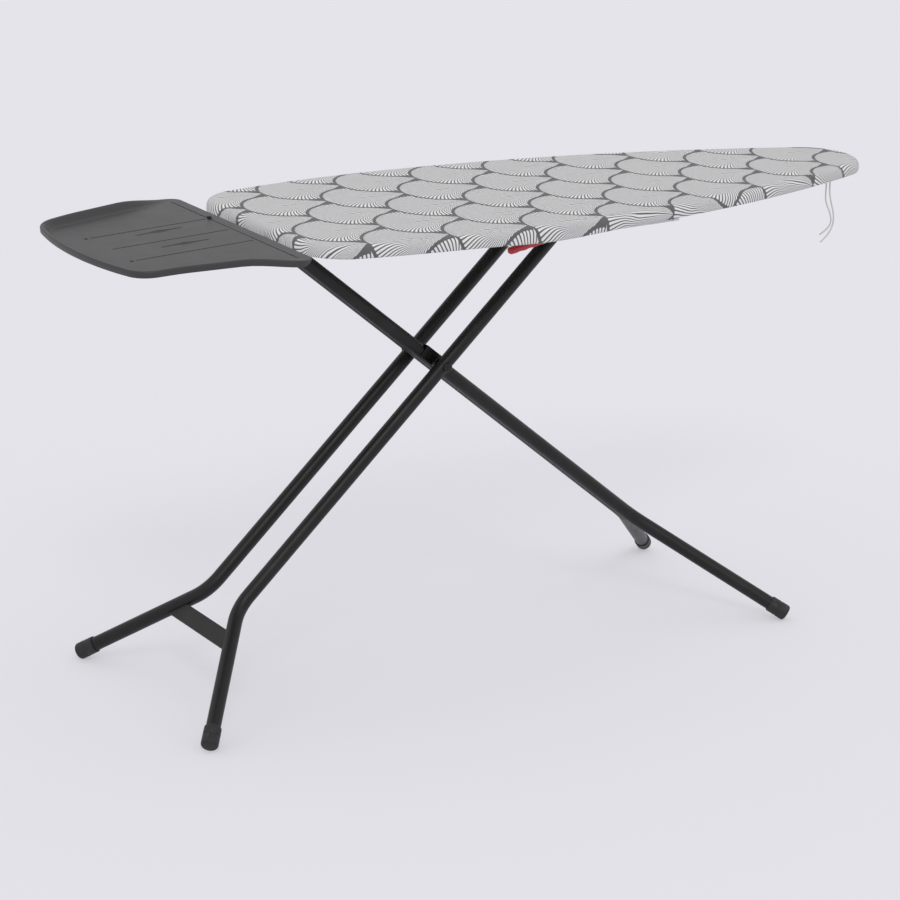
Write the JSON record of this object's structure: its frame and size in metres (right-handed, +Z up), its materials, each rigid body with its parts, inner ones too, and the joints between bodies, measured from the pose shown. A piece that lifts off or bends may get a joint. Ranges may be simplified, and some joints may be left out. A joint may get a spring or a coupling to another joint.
{
  "type": "ironing board",
  "caption": "Folding ironing board on crossed tube legs, with a padded tapered top, a moulded iron rest at the heel and a squeeze lever that frees the sliding leg.",
  "frame": {"origin": "on the floor, at the middle of the open board's length over the iron rest and nose and of its width", "axes": "+X from the heel and iron rest towards the nose, +Z up, Y across the board"},
  "size_m": [1.5544, 0.47, 0.7869],
  "materials": {
    "black_paint": "satin black stoving paint",
    "frame_steel": "grey painted steel",
    "zinc_steel": "bright zinc plating",
    "foot_rubber": "matt black",
    "rest_plastic": "dark grey moulded plastic, fine matt grain",
    "red_plastic": "red, semi-gloss",
    "bush_plastic": "natural nylon",
    "felt": "needled felt",
    "printed_cotton": "white cotton printed with dark grey fans",
    "drawcord": "braided cotton cord"
  },
  "bodies": {
    "board": {"cover": "printed_cotton", "drawcord_tail_1": "drawcord", "drawcord_tail_2": "drawcord", "edge_frame": "frame_steel", "felt_pad": "felt", "front_strap": "frame_steel", "guide_rail_far": "frame_steel", "guide_rail_far_rivet_1": "zinc_steel", "guide_rail_far_rivet_2": "zinc_steel", "guide_rail_near": "frame_steel", "guide_rail_near_rivet_1": "zinc_steel", "guide_rail_near_rivet_2": "zinc_steel", "heel_pivot_bracket": "frame_steel", "heel_pivot_bracket_rivet_1": "zinc_steel", "heel_pivot_bracket_rivet_2": "zinc_steel", "heel_pivot_pin": "zinc_steel", "heel_pivot_retainer": "zinc_steel", "heel_strap": "frame_steel", "iron_rest": "rest_plastic", "lever_bracket": "frame_steel", "lever_bracket_rivet_1": "zinc_steel", "mesh_top": "frame_steel", "middle_strap": "frame_steel", "rest_bar_far": "black_paint", "rest_bar_far_rivet": "zinc_steel", "rest_bar_near": "black_paint", "rest_bar_near_rivet": "zinc_steel", "rest_screw_far_1": "zinc_steel", "rest_screw_far_2": "zinc_steel", "rest_screw_near_1": "zinc_steel", "rest_screw_near_2": "zinc_steel", "return_spring": "zinc_steel"},
    "inner_leg": {"crossing_nut": "black_paint", "crossing_pin": "black_paint", "crossing_saddle": "black_paint", "crossing_spacer_far": "bush_plastic", "crossing_spacer_near": "bush_plastic", "inner_foot_cap_far": "foot_rubber", "inner_foot_cap_near": "foot_rubber", "inner_leg_sleeve": "black_paint", "inner_tube_far": "black_paint", "inner_tube_near": "black_paint"},
    "outer_leg": {"outer_foot_cap_far": "foot_rubber", "outer_foot_cap_near": "foot_rubber", "outer_tube_far": "black_paint", "outer_tube_near": "black_paint", "slide_bar": "zinc_steel", "slide_bush_far": "bush_plastic", "slide_bush_near": "bush_plastic", "stretcher": "black_paint"},
    "release_lever": {"lever_shaft": "zinc_steel", "lever_arm": "zinc_steel", "lever_grip": "red_plastic", "locking_comb": "zinc_steel"}
  },
  "joints": [
    {"name": "inner_leg_fold", "type": "hinge", "parent": "board", "child": "inner_leg", "pos_m": [-0.41127, 0, 0.74662], "axis": [0, -1, 0], "range_deg": [0, 36.8]},
    {"name": "leg_crossing", "type": "hinge", "parent": "inner_leg", "child": "outer_leg", "pos_m": [-0.11993, 0, 0.51662], "axis": [0, -1, 0], "range_deg": [-78.4, 0]},
    {"name": "lever_squeeze", "type": "hinge", "parent": "board", "child": "release_lever", "pos_m": [0.06216, 0, 0.75192], "axis": [0, 1, 0], "range_deg": [0, 8], "stiffness_Nm_per_rad": 1.5, "springref_deg": -14.32}
  ],
  "couplings": [
    {"joint": "leg_crossing", "follows": "inner_leg_fold", "ratio": -2.128}
  ]
}
